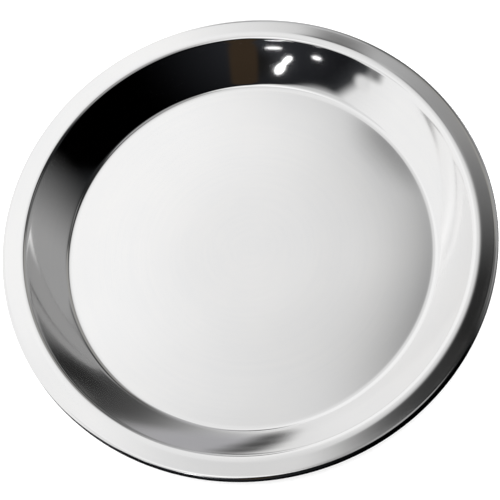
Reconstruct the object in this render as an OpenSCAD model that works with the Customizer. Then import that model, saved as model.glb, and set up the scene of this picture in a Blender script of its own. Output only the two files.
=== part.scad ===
// Round pie pan, drawn from one disc of stainless sheet.
// One sheet makes the whole pan: raised floor, sloping side, crest, falling rim and hollow curled edge.
// Origin at the middle of the pan in the plane it stands on, +Z up along its axis.

/* [Sheet] */
// Thickness of the steel sheet
sheet_t = 0.6; // [0.4:0.1:0.8]

/* [Floor] */
// Diameter of the flat middle of the floor
panel_d = 60; // [40:1:140]
// Diameter at which the floor is steepest, on its way down to the foot ring
panel_edge_d = 181; // [170:1:181]
// Steepest fall of the floor, in degrees
panel_fall = 5.25; // [1:0.25:8]
// Inside diameter of the level foot ring that the pan stands on
foot_d = 184; // [183:0.5:184]
// Length of the steepest stretch, between the two curves of the floor
steep_w = 1; // [0.5:0.1:1.5]

/* [Side] */
// Diameter of the floor, to where the bend up into the side starts
floor_d = 185; // [185:0.5:190]
// Height of the crest above the surface that the pan stands on
pan_h = 20.5; // [18:0.5:30]
// Radius of the bend between floor and side, at the middle of the sheet
floor_bend_r = 4; // [2:0.1:6]
// Radius of the side's gentle hollow, at the middle of the sheet
side_r = 130; // [100:5:300]

/* [Rim] */
// Overall diameter, over the curled edge
pan_d = 248; // [246:1:256]
// Diameter of the crest, the highest line of the pan
crest_d = 228; // [224:1:230]
// Radius of the bend from the side over to the rim, at the middle of the sheet
crest_bend_r = 2.4; // [1.5:0.1:5]
// Radius of the gentler curve over the crest, at the middle of the sheet
crest_crown_r = 12.5; // [6:0.5:20]
// Fall of the rim from the crest out to the edge, in degrees
rim_fall = 8.5; // [5:0.5:12]

/* [Curled edge] */
// Outside diameter of the curl
curl_d = 5; // [3.6:0.2:5.4]
// How far the edge is turned round, in degrees
curl_turn = 285; // [200:5:290]

/* [Hidden] */
$fn = 96;

half_t = sheet_t / 2;
floor_r = floor_d / 2;
crest_r = crest_d / 2;
panel_r = panel_d / 2;
panel_edge_r = panel_edge_d / 2;
foot_r = foot_d / 2;

// Each straight stretch runs this far into the bends at its ends, so that they join as one sheet.
lap = 0.02;
// Where a tight bend meets a gentler curve, it runs on by this many degrees.
run_on = 2;

// The floor curves gently down from its flat middle, then back to level at the foot ring.
steep_half = steep_w / 2 * cos(panel_fall);
dome_r = (panel_edge_r - steep_half - panel_r) / sin(panel_fall);
foot_bend_r = (foot_r - panel_edge_r - steep_half) / sin(panel_fall);
foot_bend_c = [foot_r, half_t + foot_bend_r];
rise = (dome_r + foot_bend_r) * (1 - cos(panel_fall)) + steep_w * sin(panel_fall);
panel_z = half_t + rise;
dome_c = [panel_r, panel_z - dome_r];

// The crest is two curves in one: a tight bend up from the side, then a gentle one out to the rim.
crown_start = 94;
crown_c = [crest_r, pan_h - half_t - crest_crown_r];
crest_bend_c = on_arc(crown_c, crest_crown_r - crest_bend_r, crown_start);

// The side is an arc that is tangent to both bends. Its centre is above the floor, so it gets steeper
// from side_low, where it leaves the floor bend, to side_high, where it meets the crest bend.
floor_bend_c = [floor_r, half_t + floor_bend_r];
centres_v = crest_bend_c - floor_bend_c;
to_floor = side_r - floor_bend_r;
to_crest = side_r + crest_bend_r;
turn = acos((norm(centres_v)^2 + to_floor^2 - to_crest^2) / (2 * norm(centres_v) * to_floor));
side_low = atan2(centres_v.y, centres_v.x) + turn - 90;
side_c = on_arc(floor_bend_c, to_floor, side_low + 90);
side_high = atan2(crest_bend_c.y - side_c.y, crest_bend_c.x - side_c.x) + 90;

// The rim falls away from the crest in a straight line that is tangent to the curl.
curl_r = curl_d / 2 - half_t;
curl_x = pan_d / 2 - curl_d / 2;
rim_start = on_arc(crown_c, crest_crown_r, 90 - rim_fall);
rim_end_x = curl_x + curl_r * sin(rim_fall);
rim_end = [rim_end_x, rim_start.y - tan(rim_fall) * (rim_end_x - rim_start.x)];
curl_c = [curl_x, rim_end.y - curl_r * cos(rim_fall)];

function on_arc(centre, r, a) = centre + r * [cos(a), sin(a)];

// A straight stretch of the sheet's section, with its middle line from p to q.
module straight(p, q) {
    along = (q - p) / norm(q - p);
    across = half_t * [-along.y, along.x];
    polygon([p - across, q - across, q + across, p + across]);
}

// The same, lapped into the bend at each end.
module lapped(p, q) {
    along = lap * (q - p) / norm(q - p);
    straight(p - along, q + along);
}

// A bent stretch round a centre, with r to its middle line, anticlockwise between two angles.
module bend(centre, r, from, to) {
    reach = 2 * r;
    intersection() {
        translate(centre) difference() {
            circle(r + half_t);
            circle(r - half_t);
        }
        polygon([centre, for (i = [0:4]) on_arc(centre, reach, from + i * (to - from) / 4)]);
    }
}

// Flat middle, gentle fall, short steepest stretch, and the level ring that the pan stands on.
module floor_section() {
    straight([0, panel_z], [panel_r + lap, panel_z]);
    bend(dome_c, dome_r, 90 - panel_fall, 90, $fn = 1440);
    lapped(on_arc(dome_c, dome_r, 90 - panel_fall), on_arc(foot_bend_c, foot_bend_r, -90 - panel_fall));
    bend(foot_bend_c, foot_bend_r, -90 - panel_fall, -90, $fn = 720);
    lapped([foot_r, half_t], [floor_r, half_t]);
}

module side_section() {
    bend(floor_bend_c, floor_bend_r, -90, side_low - 90 + run_on);
    bend(side_c, side_r, side_low - 90, side_high - 90, $fn = 1440);
    bend(crest_bend_c, crest_bend_r, crown_start - run_on, 90 + side_high + run_on);
}

module rim_section() {
    bend(crown_c, crest_crown_r, 90 - rim_fall, crown_start);
    lapped(rim_start, rim_end);
}

// The edge curls outwards, down and back under the rim, and stops short of touching it.
module curl_section() {
    first = 90 - rim_fall;
    half_turn = curl_turn / 2;
    bend(curl_c, curl_r, first - half_turn, first);
    bend(curl_c, curl_r, first - curl_turn, first - half_turn);
}

module pan() {
    color("silver") rotate_extrude() {
        floor_section();
        side_section();
        rim_section();
        curl_section();
    }
}

pan();
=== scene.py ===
"""Stainless pie pan: the visual mesh, its spin-polished steel and the studio it is shown in.

Metres throughout, in the part's own frame: the pan stands on z = 0 and turns about +Z.
The section's sizes repeat those of the CAD part. Its outer radius and height come from the frame.
"""

import math

import bmesh
import bpy
from mathutils import Matrix, Vector, noise


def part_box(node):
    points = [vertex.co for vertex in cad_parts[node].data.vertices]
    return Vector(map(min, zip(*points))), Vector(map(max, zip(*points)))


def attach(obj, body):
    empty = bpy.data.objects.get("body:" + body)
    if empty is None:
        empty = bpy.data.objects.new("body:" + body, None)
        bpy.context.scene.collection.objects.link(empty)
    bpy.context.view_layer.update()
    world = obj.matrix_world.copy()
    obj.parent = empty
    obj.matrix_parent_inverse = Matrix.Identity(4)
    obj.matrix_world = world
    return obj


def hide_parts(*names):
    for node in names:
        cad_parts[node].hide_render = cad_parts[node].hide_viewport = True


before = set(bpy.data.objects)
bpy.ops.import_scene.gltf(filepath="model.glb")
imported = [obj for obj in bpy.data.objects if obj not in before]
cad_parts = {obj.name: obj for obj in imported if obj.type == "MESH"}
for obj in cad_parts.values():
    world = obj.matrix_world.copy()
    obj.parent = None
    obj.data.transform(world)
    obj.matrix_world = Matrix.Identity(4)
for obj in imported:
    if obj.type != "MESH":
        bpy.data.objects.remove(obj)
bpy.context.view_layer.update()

MM = 0.001

# --- The pan's section -------------------------------------------------------------------

SHEET_T = 0.6 * MM
PANEL_R = 30 * MM
PANEL_EDGE_R = 90.5 * MM
PANEL_FALL = math.radians(5.25)
STEEP_W = 1 * MM
FOOT_R = 92 * MM
FLOOR_R = 92.5 * MM
FLOOR_BEND_R = 4 * MM
SIDE_R = 130 * MM
CREST_R = 114 * MM
CREST_BEND_R = 2.4 * MM
CREST_CROWN_R = 12.5 * MM
CROWN_START = math.radians(94)
RIM_FALL = math.radians(8.5)
CURL_D = 5 * MM
CURL_TURN = math.radians(285)

PAN_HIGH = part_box("pan")[1]
PAN_R = min(PAN_HIGH[0], PAN_HIGH[1])
PAN_H = PAN_HIGH[2]

TURN_STEPS = 360
ARC_STEP = math.radians(6)
FLAT_STEP = 3 * MM
DOME_STEP = math.radians(0.25)
FOOT_STEP = math.radians(1)
SIDE_STEP = math.radians(0.6)
CROWN_STEP = math.radians(2)
RIM_STEP = 0.8 * MM

# Pressed sheet is never quite true: how far it wanders from the drawn shape, and over what distance.
SWAY = 0.03 * MM
SWAY_PATCH = 45 * MM
SWAY_PLACE = Vector((3, 7, 1))
# Radii where the sway starts and where it is full: on the floor, then up the side from below and above.
FLOOR_SWAY = (88 * MM, 78 * MM)
SIDE_SWAY_LOW = (95 * MM, 100 * MM)
SIDE_SWAY_HIGH = (112 * MM, 107 * MM)
SIDE_SWAY_SHARE = 0.5
EDGE_STEPS = 6
ON_AXIS = 1e-9


def on_arc(centre, r, angle):
    """A point at an angle round a centre in the section's plane."""
    return centre + r * Vector((math.cos(angle), math.sin(angle)))


def arc_points(centre, r, start, end, step=ARC_STEP):
    """Points along an arc with the arc's outward normals, both ends included."""
    steps = max(2, round(abs(end - start) / step))
    angles = [start + (end - start) * i / steps for i in range(steps + 1)]
    return [(on_arc(centre, r, a), Vector((math.cos(a), math.sin(a)))) for a in angles]


def flipped(points):
    """The same points with their normals turned over, for an arc that is hollow from above."""
    return [(p, -n) for p, n in points]


def line_points(p, q, step):
    """Points strictly between p and q, with the normal on the left of the way along."""
    steps = max(1, round((q - p).length / step))
    along = (q - p).normalized()
    normal = Vector((-along.y, along.x))
    return [(p.lerp(q, i / steps), normal) for i in range(1, steps)]


def floor_section():
    """Flat middle, gentle fall, short steepest stretch, and the level foot ring."""
    half_t = SHEET_T / 2
    quarter = math.pi / 2
    steep_half = STEEP_W / 2 * math.cos(PANEL_FALL)
    dome_r = (PANEL_EDGE_R - steep_half - PANEL_R) / math.sin(PANEL_FALL)
    foot_bend_r = (FOOT_R - PANEL_EDGE_R - steep_half) / math.sin(PANEL_FALL)
    rise = (dome_r + foot_bend_r) * (1 - math.cos(PANEL_FALL)) + STEEP_W * math.sin(PANEL_FALL)
    dome_c = Vector((PANEL_R, half_t + rise - dome_r))
    foot_c = Vector((FOOT_R, half_t + foot_bend_r))
    centre = (Vector((0, half_t + rise)), Vector((0, 1)))
    dome = arc_points(dome_c, dome_r, quarter, quarter - PANEL_FALL, DOME_STEP)
    foot = flipped(arc_points(foot_c, foot_bend_r, -quarter - PANEL_FALL, -quarter, FOOT_STEP))
    return [centre] + line_points(centre[0], dome[0][0], FLAT_STEP) + dome + foot


def side_and_rim_section():
    """Bend, slightly hollow side, tight bend, crest, falling rim and the curl under its edge."""
    half_t = SHEET_T / 2
    quarter = math.pi / 2
    floor_c = Vector((FLOOR_R, half_t + FLOOR_BEND_R))
    crown_c = Vector((CREST_R, PAN_H - half_t - CREST_CROWN_R))
    crest_c = on_arc(crown_c, CREST_CROWN_R - CREST_BEND_R, CROWN_START)
    between = crest_c - floor_c
    to_floor = SIDE_R - FLOOR_BEND_R
    to_crest = SIDE_R + CREST_BEND_R
    reach = between.length
    turn = math.acos((reach**2 + to_floor**2 - to_crest**2) / (2 * reach * to_floor))
    side_low = math.atan2(between.y, between.x) + turn - quarter
    side_c = on_arc(floor_c, to_floor, side_low + quarter)
    side_high = math.atan2(crest_c.y - side_c.y, crest_c.x - side_c.x) + quarter

    floor_bend = flipped(arc_points(floor_c, FLOOR_BEND_R, -quarter, side_low - quarter))
    side = flipped(arc_points(side_c, SIDE_R, side_low - quarter, side_high - quarter, SIDE_STEP))
    crest_bend = arc_points(crest_c, CREST_BEND_R, side_high + quarter, CROWN_START)
    crown = arc_points(crown_c, CREST_CROWN_R, CROWN_START, quarter - RIM_FALL, CROWN_STEP)

    curl_r = CURL_D / 2 - half_t
    curl_x = PAN_R - CURL_D / 2
    rim_start = crown[-1][0]
    rim_end_x = curl_x + curl_r * math.sin(RIM_FALL)
    rim_end = Vector((rim_end_x, rim_start.y - math.tan(RIM_FALL) * (rim_end_x - rim_start.x)))
    curl_c = Vector((curl_x, rim_end.y - curl_r * math.cos(RIM_FALL)))
    first = quarter - RIM_FALL
    curl = arc_points(curl_c, curl_r, first, first - CURL_TURN)
    return (
        floor_bend
        + side[1:-1]
        + crest_bend
        + crown[1:]
        + line_points(rim_start, curl[0][0], RIM_STEP)
        + curl
    )


def sheet_outline(section):
    """The closed outline of points and sway directions: upper face outwards, round the free edge, and
    lower face back to the axis."""
    half_t = SHEET_T / 2
    upper = [(p + half_t * n, n) for p, n in section]
    lower = [(p - half_t * n, n) for p, n in section]
    end, normal = section[-1]
    start_a = math.atan2(normal.y, normal.x)
    edge = [(on_arc(end, half_t, start_a - math.pi * i / EDGE_STEPS), normal) for i in range(1, EDGE_STEPS)]
    return upper + edge + lower[::-1]


def ramp(value, low, high):
    """0 below low, 1 above high and smooth between. Low may be the larger, for a ramp downwards."""
    t = min(1, max(0, (value - low) / (high - low)))
    return t * t * (3 - 2 * t)


def sway_at(r):
    """How freely the sheet wanders at a radius: most over the floor, less up the side, and not at all at
    the foot ring or from the crest outwards."""
    side = min(ramp(r, *SIDE_SWAY_LOW), ramp(r, *SIDE_SWAY_HIGH))
    return ramp(r, *FLOOR_SWAY) + SIDE_SWAY_SHARE * side


def swayed(p, normal, angle):
    """A section's point turned to an angle, moved a little along its normal."""
    flat = Vector((p.x * math.cos(angle), p.x * math.sin(angle), p.y))
    across = Vector((normal.x * math.cos(angle), normal.x * math.sin(angle), normal.y))
    wander = noise.noise(Vector((flat.x, flat.y, 0)) / SWAY_PATCH + SWAY_PLACE)
    return flat + across * (SWAY * sway_at(p.x) * wander)


def revolve(name, outline):
    """A smooth quad mesh of an outline that starts and ends on the axis."""
    bm = bmesh.new()
    rings = []
    for p, normal in outline:
        if p.x < ON_AXIS:
            rings.append([bm.verts.new(swayed(p, normal, 0))])
            continue
        angles = [2 * math.pi * k / TURN_STEPS for k in range(TURN_STEPS)]
        rings.append([bm.verts.new(swayed(p, normal, a)) for a in angles])
    for inner, outer in zip(rings, rings[1:]):
        for k in range(TURN_STEPS):
            j = (k + 1) % TURN_STEPS
            if len(inner) == 1:
                bm.faces.new((inner[0], outer[k], outer[j]))
            elif len(outer) == 1:
                bm.faces.new((inner[k], outer[0], inner[j]))
            else:
                bm.faces.new((inner[k], outer[k], outer[j], inner[j]))
    for face in bm.faces:
        face.smooth = True
    bmesh.ops.recalc_face_normals(bm, faces=bm.faces)
    mesh = bpy.data.meshes.new(name)
    bm.to_mesh(mesh)
    bm.free()
    piece = bpy.data.objects.new(name, mesh)
    bpy.context.scene.collection.objects.link(piece)
    return piece


pan = revolve("pan_sheet", sheet_outline(floor_section() + side_and_rim_section()))

# --- Steel -------------------------------------------------------------------------------

STEEL_COOL = (0.86, 0.86, 0.862, 1)
STEEL_WARM = (0.885, 0.88, 0.875, 1)

FINE_PITCH = 0.25 * MM
BROAD_PITCH = 1.6 * MM
CLOUD_SCALE = 22.0
GRAIN_SCALE = 2600.0
WIPE_TURN = 35
WIPE_SCALE = (18, 75, 18)
# Three directions of hairline scratches: turn in degrees, spacing, length and rarity.
HAIRLINES = [
    (20, 0.35 * MM, 28 * MM, 0.725),
    (-52, 0.45 * MM, 20 * MM, 0.735),
    (81, 0.4 * MM, 24 * MM, 0.735),
]
# The height under which the foot is rubbed, and the radii over which hands rub the curl.
FOOT_RUB = (0.1 * MM, 0.5 * MM)
GRIP_RUB = (119 * MM, 122.5 * MM)


def socket(node, name, value):
    node.inputs[name].default_value = value


class Nodes:
    """Short calls for the nodes that the steel is made of."""

    def __init__(self, material):
        self.tree = material.node_tree

    def new(self, kind, **settings):
        node = self.tree.nodes.new(kind)
        for name, value in settings.items():
            setattr(node, name, value)
        return node

    def put(self, value, target):
        """Sets a socket to a number, or links another socket to it."""
        if isinstance(value, bpy.types.NodeSocket):
            self.tree.links.new(value, target)
        else:
            target.default_value = value

    def maths(self, operation, *values):
        node = self.new("ShaderNodeMath", operation=operation)
        for value, target in zip(values, node.inputs):
            self.put(value, target)
        return node.outputs[0]

    def scaled(self, value, from_low, from_high, low, high):
        """Takes one range of values to another, without going outside it."""
        node = self.new("ShaderNodeMapRange")
        self.put(value, node.inputs["Value"])
        ends = {"From Min": from_low, "From Max": from_high, "To Min": low, "To Max": high}
        for name, number in ends.items():
            socket(node, name, number)
        return node.outputs["Result"]

    def noise(self, vector, scale, detail=2.0, rough=0.5, w=None):
        node = self.new("ShaderNodeTexNoise", noise_dimensions="3D" if w is None else "4D")
        self.put(vector, node.inputs["Vector"])
        if w is not None:
            self.put(w, node.inputs["W"])
        for name, number in (("Scale", scale), ("Detail", detail), ("Roughness", rough)):
            socket(node, name, number)
        return node.outputs["Fac"]

    def stretched(self, vector, turn, scale):
        """Coordinates turned about +Z, then scaled along each axis."""
        node = self.new("ShaderNodeMapping", vector_type="TEXTURE")
        self.put(vector, node.inputs["Vector"])
        socket(node, "Rotation", (0, 0, math.radians(turn)))
        socket(node, "Scale", tuple(1 / number for number in scale))
        return node.outputs["Vector"]

    def bump(self, height, depth, strength, below=None):
        """Relief of a depth in metres, over any relief below it."""
        node = self.new("ShaderNodeBump")
        self.put(height, node.inputs["Height"])
        socket(node, "Distance", depth)
        socket(node, "Strength", strength)
        if below is not None:
            self.put(below, node.inputs["Normal"])
        return node.outputs["Normal"]


def spin_lines(n, place, radius, height, pitch):
    """Fine rings round the axis, each a little different on its way round."""
    way = n.new("ShaderNodeVectorMath", operation="NORMALIZE")
    flat = n.new("ShaderNodeVectorMath", operation="MULTIPLY")
    n.put(place, flat.inputs[0])
    flat.inputs[1].default_value = (1, 1, 0)
    n.put(flat.outputs["Vector"], way.inputs[0])
    parts = n.new("ShaderNodeSeparateXYZ")
    n.put(way.outputs["Vector"], parts.inputs[0])
    joined = n.new("ShaderNodeCombineXYZ")
    n.put(parts.outputs["X"], joined.inputs["X"])
    n.put(parts.outputs["Y"], joined.inputs["Y"])
    n.put(n.maths("MULTIPLY", radius, 1 / pitch), joined.inputs["Z"])
    return n.noise(joined.outputs["Vector"], 1.0, detail=3.0, w=n.maths("MULTIPLY", height, 1 / pitch))


def scratches(n, place, turn, spacing, length, rarity):
    """Straight hairlines in one direction: 1 on a scratch and 0 elsewhere."""
    streaks = n.noise(n.stretched(place, turn, (1 / length, 1 / spacing, 1 / length)), 1.0, detail=1.0)
    return n.scaled(streaks, rarity, rarity + 0.02, 0.0, 1.0)


def stainless():
    """Bright rolled steel. Its finish is even: fine rings from spin polishing, a faint cloudiness from
    wiping, hairline scratches from use, and duller metal where the pan slides and is handled."""
    mat = bpy.data.materials.new("stainless")
    mat.use_nodes = True
    n = Nodes(mat)
    shader = mat.node_tree.nodes["Principled BSDF"]
    socket(shader, "Metallic", 1.0)

    place = n.new("ShaderNodeTexCoord").outputs["Object"]
    parts = n.new("ShaderNodeSeparateXYZ")
    n.put(place, parts.inputs[0])
    across, along, height = parts.outputs["X"], parts.outputs["Y"], parts.outputs["Z"]
    squares = n.maths("ADD", n.maths("MULTIPLY", across, across), n.maths("MULTIPLY", along, along))
    radius = n.maths("SQRT", squares)

    fine_rings = spin_lines(n, place, radius, height, FINE_PITCH)
    broad_rings = spin_lines(n, place, radius, height, BROAD_PITCH)
    clouds = n.noise(place, CLOUD_SCALE, detail=4.0, rough=0.6)
    wipes = n.noise(n.stretched(place, WIPE_TURN, WIPE_SCALE), 1.0, detail=3.0)
    grain = n.noise(place, GRAIN_SCALE, detail=1.0)
    first, second, third = [scratches(n, place, *hairline) for hairline in HAIRLINES]
    hairlines = n.maths("MAXIMUM", n.maths("MAXIMUM", first, second), third)
    # Rubbed where it slides on a shelf and where hands hold it: under the foot ring and over the curl.
    foot = n.scaled(height, *FOOT_RUB, 1.0, 0.0)
    grip = n.scaled(radius, *GRIP_RUB, 0.0, 0.5)
    rubbed = n.maths("MULTIPLY", n.maths("MAXIMUM", foot, grip), n.scaled(clouds, 0.35, 0.65, 0.4, 1.0))

    tint = n.new("ShaderNodeMix", data_type="RGBA")
    n.put(n.scaled(n.maths("ADD", clouds, n.maths("MULTIPLY", broad_rings, 0.5)), 0.55, 0.95, 0.0, 1.0),
          tint.inputs["Factor"])
    tint.inputs["A"].default_value = STEEL_COOL
    tint.inputs["B"].default_value = STEEL_WARM
    n.put(tint.outputs["Result"], shader.inputs["Base Color"])

    rough = n.maths("ADD", n.scaled(clouds, 0.3, 0.7, 0.05, 0.07), n.scaled(wipes, 0.45, 0.75, 0.0, 0.015))
    rough = n.maths("ADD", rough, n.scaled(fine_rings, 0.3, 0.7, -0.006, 0.006))
    rough = n.maths("ADD", rough, n.maths("MULTIPLY", hairlines, 0.04))
    rough = n.maths("ADD", rough, n.maths("MULTIPLY", rubbed, 0.14))
    n.put(rough, shader.inputs["Roughness"])

    relief = n.bump(broad_rings, depth=0.002 * MM, strength=0.25)
    relief = n.bump(fine_rings, depth=0.0012 * MM, strength=0.25, below=relief)
    relief = n.bump(hairlines, depth=-0.0015 * MM, strength=0.3, below=relief)
    relief = n.bump(grain, depth=0.0004 * MM, strength=0.2, below=relief)
    n.put(relief, shader.inputs["Normal"])
    return mat


steel = stainless()
pan.data.materials.append(steel)
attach(pan, "root")
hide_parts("pan")

# --- Studio ------------------------------------------------------------------------------

# Soft cards of light and dark all round, as the steel sees them: azimuth from +X, elevation, radius and
# softness of the edge in degrees, and brightness. Later cards cover earlier ones.
# Most of these numbers are the rounded result of a separate fitting program, and weren't chosen by hand.
# The lamps' ends and the camera's angles, distance and target were worked out by such programs too.
CARDS = [
    ("white_tent", 123.5, 24.5, 89.5, 2.7, 0.97),
    ("top_sheet", 121, 48, 22.7, 3.7, 1.02),
    ("dark_corner", 40, 17, 46, 20, 0.0),
    ("dark_room", -71, -8.5, 67.7, 5, 0.0),
    ("dark_opening", 42.5, 68, 14, 12, 0.01),
    ("left_sheet", 225.5, 47.3, 21.8, 2, 0.83),
    ("dark_stand", 255.5, 11, 14, 40, 0.04),
    ("grey_card", 50.7, 36.8, 19.5, 1.8, 0.32),
    ("low_grey_card", 36, 1.7, 34, 16.5, 0.35),
    ("side_card", 90, 31, 8.2, 4.2, 0.48),
    ("seam", 100.2, 27.6, 2.8, 2.5, 0.12),
    ("near_opening", -26.5, 64.7, 24, 3.3, 0.02),
    ("floor_card", 89, 68, 6.5, 11.5, 0.83),
    ("high_sheet", 116, 80, 4, 14, 0.79),
    ("zenith_sheet", 223, 80.5, 11, 8, 0.65),
    ("dark_coat", 260.5, 23, 6, 4, 0.01),
    ("clip", 87.4, 48, 3, 1.5, 0.16),
    ("far_sheet", 238.5, 68, 1.5, 26, 1.58),
    ("grey_ceiling", 316, 70, 15.7, 3, 0.37),
    ("seam_high", 97.4, 37, 2.8, 2.4, 0.13),
    ("seam_mid", 98.8, 32.2, 3, 2.4, 0.09),
    ("far_sheet_low", 268, 65, 7, 4, 1.1),
    ("edge_card", 218.5, 13.5, 3, 1.5, 0.8),
    ("edge_gap", 215.5, 6.5, 2.5, 2, 0.2),
    ("low_gap", 60, 16, 12.5, 10.5, 0.03),
    ("low_gap_side", 43.5, 15.5, 5, 3, 0.1),
    ("floor_shade", 75.5, 56, 4.7, 2, 0.32),
    ("post_1", 266, 16.5, 5.2, 1.2, 0.026),
    ("post_2", 266, 20, 5.2, 1.2, 0.026),
    ("post_3", 266, 23.5, 5.2, 1.2, 0.026),
    ("post_4", 266, 27, 5.1, 1.2, 0.025),
    ("post_5", 266, 30.5, 5, 1.2, 0.024),
]
# Cards that aren't neutral. Every other card has the neutral tint.
NEUTRAL = (1, 1, 1)
TINTS = {
    "grey_card": (1.03, 1.01, 0.96),
    "side_card": (0.99, 0.985, 1.02),
    "dark_stand": (0.93, 0.98, 1.13),
    **{f"post_{number}": (1.45, 0.98, 0.6) for number in range(1, 6)},
}
# The light from where no card stands.
ROOM = (0.039, 0.041, 0.044)


def direction(azimuth, elevation):
    a, e = math.radians(azimuth), math.radians(elevation)
    return Vector((math.cos(e) * math.cos(a), math.cos(e) * math.sin(a), math.sin(e)))


def studio_world():
    world = bpy.data.worlds.new("studio")
    bpy.context.scene.world = world
    world.use_nodes = True
    nodes, links = world.node_tree.nodes, world.node_tree.links
    nodes.clear()
    coord = nodes.new("ShaderNodeTexCoord")
    last = None
    for name, azimuth, elevation, radius, soft, value in CARDS:
        dot = nodes.new("ShaderNodeVectorMath")
        dot.operation = "DOT_PRODUCT"
        dot.label = name
        links.new(coord.outputs["Generated"], dot.inputs[0])
        dot.inputs[1].default_value = direction(azimuth, elevation)
        angle = nodes.new("ShaderNodeMath")
        angle.operation = "ARCCOSINE"
        links.new(dot.outputs["Value"], angle.inputs[0])
        mask = nodes.new("ShaderNodeMapRange")
        mask.interpolation_type = "SMOOTHSTEP"
        socket(mask, "From Min", math.radians(radius + soft))
        socket(mask, "From Max", math.radians(radius - soft))
        links.new(angle.outputs[0], mask.inputs["Value"])
        mix = nodes.new("ShaderNodeMix")
        mix.data_type = "RGBA"
        links.new(mask.outputs["Result"], mix.inputs["Factor"])
        if last:
            links.new(last, mix.inputs["A"])
        else:
            mix.inputs["A"].default_value = (*ROOM, 1)
        tint = TINTS.get(name, NEUTRAL)
        mix.inputs["B"].default_value = (*(value * part for part in tint), 1)
        last = mix.outputs["Result"]
    background = nodes.new("ShaderNodeBackground")
    links.new(last, background.inputs["Color"])
    output = nodes.new("ShaderNodeOutputWorld")
    links.new(background.outputs[0], output.inputs["Surface"])


FLOOR_RADIUS = 6
FLOOR_DROP = 0.2 * MM
BACKDROP_RADIUS = 8
STAGE_ROUGHNESS = 0.9
PAPER = (0.35, 0.35, 0.35)
PAPER_GLOW = 0.68
BLACK = (0, 0, 0)


def camera_only(obj):
    """Stage that the camera sees, and that neither lights nor shows in the steel."""
    obj.visible_diffuse = False
    obj.visible_glossy = False
    obj.visible_transmission = False
    obj.visible_shadow = False


def plain_material(name, colour, glow=0.0):
    mat = bpy.data.materials.new(name)
    mat.use_nodes = True
    shader = mat.node_tree.nodes["Principled BSDF"]
    socket(shader, "Base Color", (*colour, 1))
    socket(shader, "Roughness", STAGE_ROUGHNESS)
    socket(shader, "Emission Color", (1, 1, 1, 1))
    socket(shader, "Emission Strength", glow)
    return mat


def stage():
    floor_mesh = bpy.data.meshes.new("floor")
    bm = bmesh.new()
    bmesh.ops.create_circle(bm, cap_ends=True, radius=FLOOR_RADIUS, segments=96)
    bm.to_mesh(floor_mesh)
    bm.free()
    floor = bpy.data.objects.new("floor", floor_mesh)
    floor.location.z = -FLOOR_DROP
    floor_mesh.materials.append(plain_material("paper", PAPER, PAPER_GLOW))
    floor.visible_glossy = False

    dome_mesh = bpy.data.meshes.new("backdrop")
    bm = bmesh.new()
    bmesh.ops.create_uvsphere(bm, u_segments=48, v_segments=24, radius=BACKDROP_RADIUS)
    bm.to_mesh(dome_mesh)
    bm.free()
    dome = bpy.data.objects.new("backdrop", dome_mesh)
    dome_mesh.materials.append(plain_material("backdrop", BLACK, 1.0))
    camera_only(dome)
    for obj in (floor, dome):
        bpy.context.scene.collection.objects.link(obj)


OVERHEAD_SIZE = 2.0
OVERHEAD_HEIGHT = 2.0
OVERHEAD_POWER = 160


def overhead_light():
    """A large soft light over the floor. The steel doesn't show it: its cards are in the world."""
    data = bpy.data.lights.new("overhead", "AREA")
    data.shape = "DISK"
    data.size = OVERHEAD_SIZE
    data.energy = OVERHEAD_POWER
    light = bpy.data.objects.new("overhead", data)
    light.location = (0, 0, OVERHEAD_HEIGHT)
    light.visible_glossy = False
    bpy.context.scene.collection.objects.link(light)


# Small lamps in the dark part of the studio, which show as highlights on the far side: the two ends of
# each, its width, all in metres, and its radiance.
LAMPS = [
    ("upper_lamp", (-0.2, -0.424, 0.19), (-0.175, -0.425, 0.222), 0.021, 2.0),
    ("linking_lamp", (-0.19, -0.427, 0.201), (-0.16, -0.419, 0.25), 0.018, 1.6),
    ("lower_lamp", (-0.174, -0.422, 0.228), (-0.147, -0.414, 0.272), 0.031, 2.0),
    ("top_lamp", (-0.115, -0.456, 0.175), (-0.171, -0.443, 0.166), 0.012, 1.6),
    ("side_lamp", (-0.261, -0.397, 0.166), (-0.289, -0.383, 0.158), 0.015, 1.8),
]
LAMP_AIM = Vector((0.03, 0.1, 0.01))


def lamps():
    for name, start, end, width, radiance in LAMPS:
        start, end = Vector(start), Vector(end)
        middle = (start + end) / 2
        data = bpy.data.lights.new(name, "AREA")
        data.shape = "ELLIPSE"
        data.size = (end - start).length
        data.size_y = width
        data.energy = radiance * math.pi * (math.pi / 4 * data.size * data.size_y)
        back = (middle - LAMP_AIM).normalized()
        across = (end - start).normalized()
        up = back.cross(across).normalized()
        across = up.cross(back)
        light = bpy.data.objects.new(name, data)
        turn = Matrix((across, up, back)).transposed().to_4x4()
        light.matrix_world = Matrix.Translation(middle) @ turn
        light.visible_camera = False
        bpy.context.scene.collection.objects.link(light)


# The camera looks down on the pan, a little to the right of square on, and is rolled.
CAMERA_AZIMUTH = -74.93
CAMERA_ELEVATION = 66.79
CAMERA_ROLL = 16.33
CAMERA_DISTANCE = 1.0099
CAMERA_LENS = 144
CAMERA_SENSOR = 36
CAMERA_TARGET = Vector((-0.5 * MM, 1.5 * MM, SHEET_T))


def camera():
    data = bpy.data.cameras.new("camera")
    data.lens = CAMERA_LENS
    data.sensor_width = CAMERA_SENSOR
    cam = bpy.data.objects.new("camera", data)
    back = direction(CAMERA_AZIMUTH, CAMERA_ELEVATION)
    right = Vector((0, 0, 1)).cross(back).normalized()
    up = back.cross(right)
    turn = Matrix((right, up, back)).transposed().to_4x4()
    roll = Matrix.Rotation(-math.radians(CAMERA_ROLL), 4, "Z")
    cam.matrix_world = Matrix.Translation(CAMERA_TARGET + CAMERA_DISTANCE * back) @ turn @ roll
    bpy.context.scene.collection.objects.link(cam)
    bpy.context.scene.camera = cam


studio_world()
stage()
overhead_light()
lamps()
camera()
bpy.context.scene.view_settings.view_transform = "Standard"
